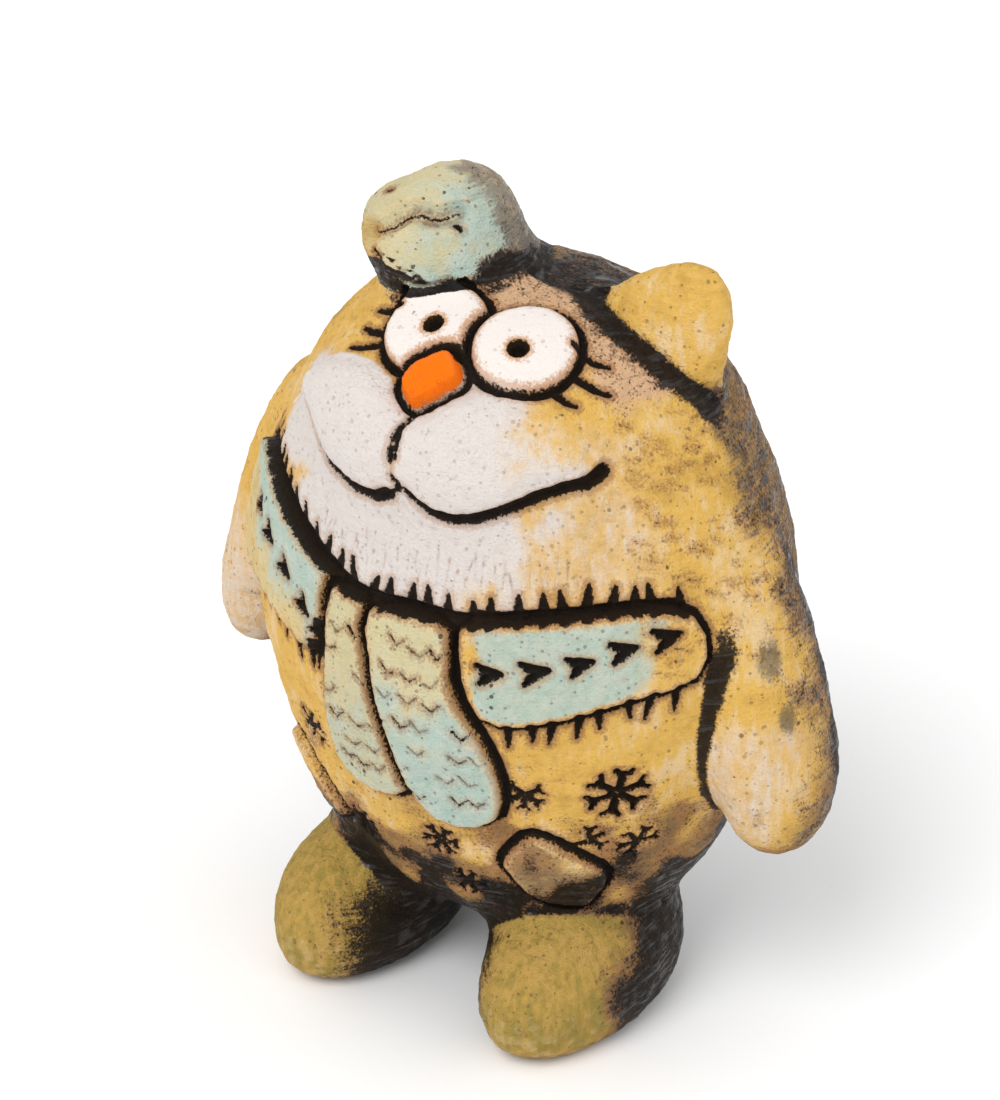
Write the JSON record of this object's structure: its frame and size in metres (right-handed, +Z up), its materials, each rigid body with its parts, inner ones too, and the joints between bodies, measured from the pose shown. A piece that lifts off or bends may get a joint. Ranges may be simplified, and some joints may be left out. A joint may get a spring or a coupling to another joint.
{
  "type": "cat figurine",
  "caption": "Hollow grogged-clay cat figurine standing on broad feet, with a rolled-cuff hat, a scarf with hanging tails and a face in low relief.",
  "frame": {"origin": "on the table, at the centre of the figure's footprint box", "axes": "+Z up, the cat faces -Y, its own left side is +X"},
  "size_m": [0.1432, 0.0984, 0.1697],
  "materials": {
    "ochre_clay": "matt ochre slip brushed over grogged clay, dark oxide left in every groove",
    "stained_clay": "grogged clay under brushed grey-brown oxide, thinly glazed in the hollows",
    "moss_clay": "green-ochre slip rubbed back on grogged clay",
    "white_slip": "chalky white slip, dark speckle showing through",
    "orange_slip": "satin orange underglaze",
    "blue_slip": "pale turquoise slip dry-brushed over ochre",
    "sage_slip": "grey-green slip rubbed over grogged clay"
  },
  "bodies": {
    "root": {"body_front_half": "ochre_clay", "body_back_half": "stained_clay", "arm_left": "ochre_clay", "arm_right": "ochre_clay", "foot_left": "moss_clay", "foot_right": "moss_clay", "ear_left": "ochre_clay", "hat_brim": "sage_slip", "hat_crown": "sage_slip", "eye_left": "white_slip", "eye_right": "white_slip", "nose": "orange_slip", "muzzle_left": "white_slip", "muzzle_right": "white_slip", "scarf_band_left": "blue_slip", "scarf_band_right": "blue_slip", "scarf_tail_front": "blue_slip", "scarf_tail_back": "sage_slip", "patch_left": "ochre_clay", "patch_right": "ochre_clay"}
  },
  "joints": []
}
